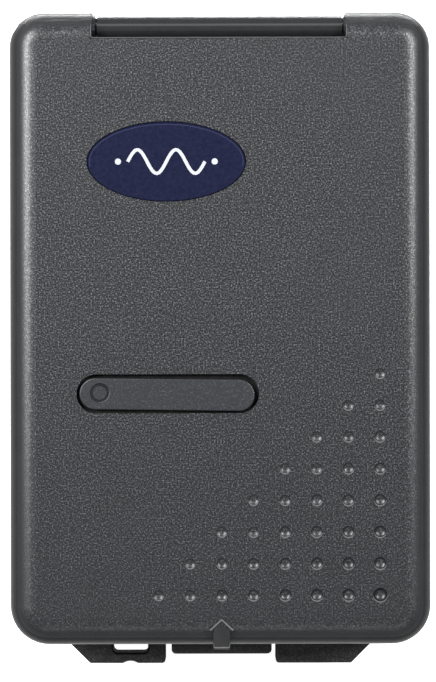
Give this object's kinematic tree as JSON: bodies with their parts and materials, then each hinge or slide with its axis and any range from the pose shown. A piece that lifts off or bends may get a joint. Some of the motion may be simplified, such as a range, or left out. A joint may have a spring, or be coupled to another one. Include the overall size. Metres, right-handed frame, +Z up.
{
  "type": "folding pocket multimeter",
  "caption": "Pocket electric test meter in a flip-lid case with hinge barrel, sliding latch key, guard lugs, rotary switch, push buttons, display and input jacks.",
  "frame": {"origin": "middle of the footprint's bounding box, on the surface the rubber feet stand on", "axes": "+Z up through the closed lid, +Y towards the lid's hinge, +X to the right seen from above"},
  "size_m": [0.0824, 0.1293, 0.0301],
  "materials": {
    "case_grey": "fine speckled texture",
    "rear_black": "satin",
    "badge_blue": "satin lacquer",
    "strip_grey": "smooth satin",
    "knob_black": "satin",
    "button_grey": "satin",
    "label_dark": "printed film",
    "window_clear": "polished",
    "lcd_green": "satin",
    "white_plastic": "satin",
    "board_green": "solder mask",
    "copper_gold": "plated",
    "steel": "zinc plated",
    "brass": "nickel-free",
    "chip_black": "moulded",
    "foot_rubber": "matte",
    "collar_red": "glossy",
    "collar_black": "glossy",
    "fuse_glass": "polished",
    "cell_jacket": "lacquered",
    "ceramic_disc": "dipped",
    "elastomer": "soft"
  },
  "bodies": {
    "case": {"front_case": "case_grey", "rear_case": "rear_black", "face_label": "label_dark", "display_window": "window_clear", "lcd_frame": "white_plastic", "lcd_cell": "lcd_green", "zebra_strips": "elastomer", "backlight": "white_plastic", "main_board": "board_green", "contact_tracks": "copper_gold", "key_switches": "steel", "controller_chip": "chip_black", "crystal": "steel", "buzzer": "chip_black", "thermistor": "ceramic_disc", "shunt_wire": "copper_gold", "fuse_tube": "fuse_glass", "fuse_caps": "steel", "fuse_clips": "copper_gold", "battery_cell_1": "cell_jacket", "battery_cell_2": "cell_jacket", "contact_springs": "steel", "contact_plates": "steel", "battery_door": "rear_black", "door_screws": "steel", "case_screws": "steel", "board_screws": "steel", "rubber_feet": "foot_rubber", "jack_sleeve_left": "brass", "jack_sleeve_middle": "brass", "jack_sleeve_right": "brass", "jack_collar_left": "collar_red", "jack_collar_middle": "collar_black", "jack_collar_right": "collar_red", "latch_spring": "steel"},
    "lid": {"lid_shell": "case_grey", "hinge_pin": "steel", "badge_plate": "badge_blue", "inlay_strip": "strip_grey"},
    "latch": {"latch_key": "rear_black"},
    "knob": {"rotary_knob": "knob_black", "wiper_carrier": "white_plastic", "wiper_contacts": "copper_gold", "detent_balls": "steel", "detent_springs": "steel"},
    "button_1": {"button_1": "button_grey"},
    "button_2": {"button_2": "button_grey"},
    "button_3": {"button_3": "button_grey"},
    "button_4": {"button_4": "button_grey"}
  },
  "joints": [
    {"name": "lid_hinge", "type": "hinge", "parent": "case", "child": "lid", "pos_m": [0, 0.06169, 0.0252], "axis": [-1, 0, 0], "range_deg": [0, 180]},
    {"name": "latch_slide", "type": "slide", "parent": "case", "child": "latch", "axis": [0, 1, 0], "range_m": [0, 0.0015], "stiffness_N_per_m": 900, "springref_m": -0.0015, "deforming": ["latch_spring"]},
    {"name": "knob_turn", "type": "hinge", "parent": "case", "child": "knob", "pos_m": [0, -0.011, 0.0191], "axis": [0, 0, -1], "range_deg": [-150, 150]},
    {"name": "button_1_press", "type": "slide", "parent": "case", "child": "button_1", "axis": [0, 0, -1], "range_m": [0, 0.0006], "stiffness_N_per_m": 1500, "springref_m": -0.0004},
    {"name": "button_2_press", "type": "slide", "parent": "case", "child": "button_2", "axis": [0, 0, -1], "range_m": [0, 0.0006], "stiffness_N_per_m": 1500, "springref_m": -0.0004},
    {"name": "button_3_press", "type": "slide", "parent": "case", "child": "button_3", "axis": [0, 0, -1], "range_m": [0, 0.0006], "stiffness_N_per_m": 1500, "springref_m": -0.0004},
    {"name": "button_4_press", "type": "slide", "parent": "case", "child": "button_4", "axis": [0, 0, -1], "range_m": [0, 0.0006], "stiffness_N_per_m": 1500, "springref_m": -0.0004}
  ]
}
